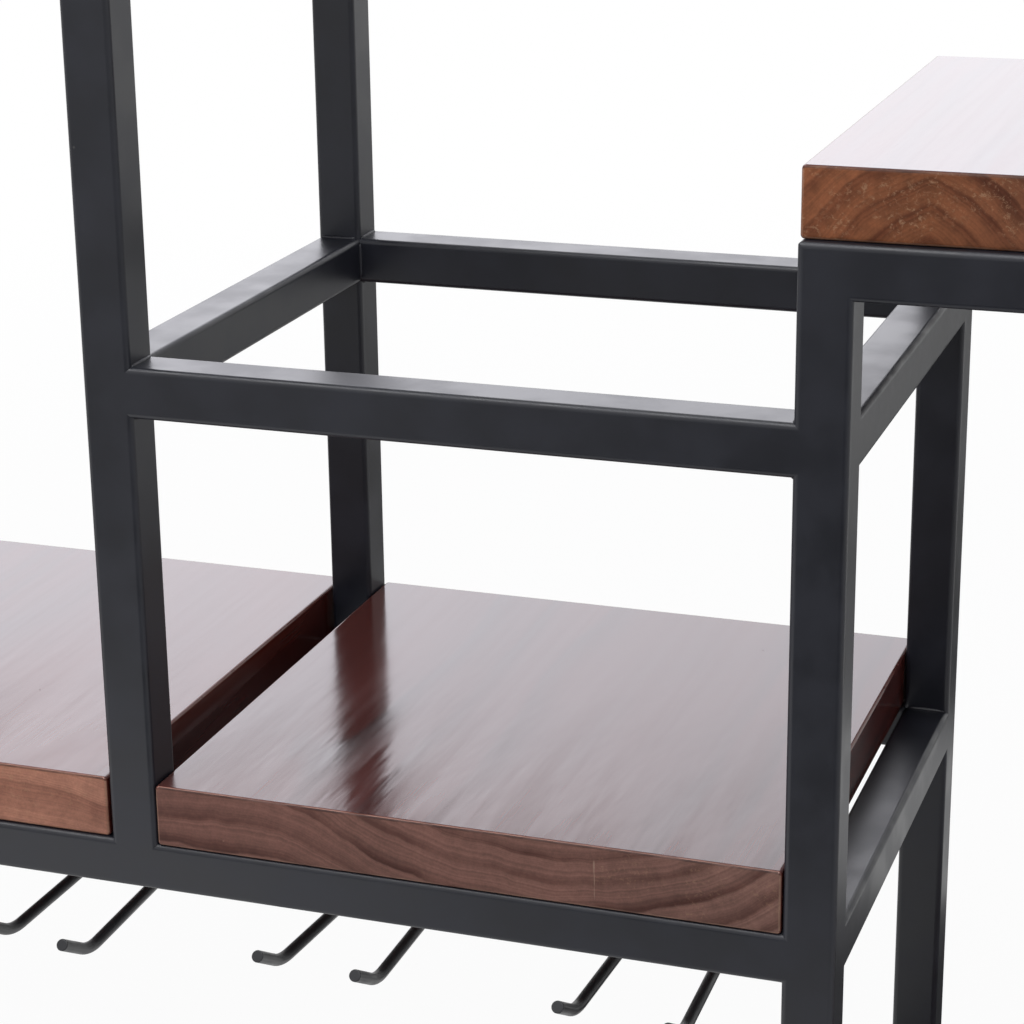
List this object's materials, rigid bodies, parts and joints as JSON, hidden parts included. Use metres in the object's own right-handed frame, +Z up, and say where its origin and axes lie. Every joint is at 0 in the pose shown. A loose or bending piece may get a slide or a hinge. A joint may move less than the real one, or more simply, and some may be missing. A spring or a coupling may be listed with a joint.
{
  "type": "wall wine rack",
  "caption": "Stepped wall wine rack of black square tube with varnished boards, an open bottle bay with guard rails and bent rods below for hanging stemware.",
  "frame": {"origin": "on the wall plane, midway between the two wall screw holes of the left tower's top back rail", "axes": "+X to the right seen from the front, +Y into the wall, +Z up"},
  "size_m": [0.81, 0.202, 0.6027],
  "materials": {
    "frame_coat": "satin powder coat",
    "rod_coat": "satin powder coat",
    "varnished_wood": "red-brown stain under gloss varnish",
    "screw_steel": "blackened"
  },
  "bodies": {
    "root": {"glass_rod_1_left": "rod_coat", "glass_rod_1_right": "rod_coat", "glass_rod_2_left": "rod_coat", "glass_rod_2_right": "rod_coat", "glass_rod_3_left": "rod_coat", "glass_rod_3_right": "rod_coat", "glass_rod_4_left": "rod_coat", "glass_rod_4_right": "rod_coat", "glass_rod_5_left": "rod_coat", "glass_rod_5_right": "rod_coat", "guard_rail_back": "frame_coat", "guard_rail_front": "frame_coat", "guard_side_left": "frame_coat", "guard_side_right": "frame_coat", "left_board": "varnished_wood", "left_board_screws": "screw_steel", "left_inner_post_back": "frame_coat", "left_inner_post_front": "frame_coat", "left_outer_post_back": "frame_coat", "left_outer_post_front": "frame_coat", "left_top_board": "varnished_wood", "left_top_board_screws": "screw_steel", "left_top_rail_back": "frame_coat", "left_top_rail_front": "frame_coat", "left_top_tie_inner": "frame_coat", "left_top_tie_outer": "frame_coat", "lower_rail_back": "frame_coat", "lower_rail_front": "frame_coat", "lower_tie_inner": "frame_coat", "lower_tie_outer": "frame_coat", "lower_tie_right": "frame_coat", "middle_board": "varnished_wood", "middle_board_screws": "screw_steel", "right_bottom_board": "varnished_wood", "right_bottom_board_screws": "screw_steel", "right_bottom_rail_back": "frame_coat", "right_bottom_rail_front": "frame_coat", "right_bottom_tie_inner": "frame_coat", "right_bottom_tie_outer": "frame_coat", "right_inner_post_back": "frame_coat", "right_inner_post_front": "frame_coat", "right_outer_post_back": "frame_coat", "right_outer_post_front": "frame_coat", "right_top_board": "varnished_wood", "right_top_board_screws": "screw_steel", "right_top_rail_back": "frame_coat", "right_top_rail_front": "frame_coat", "right_top_tie_inner": "frame_coat", "right_top_tie_outer": "frame_coat"}
  },
  "joints": []
}
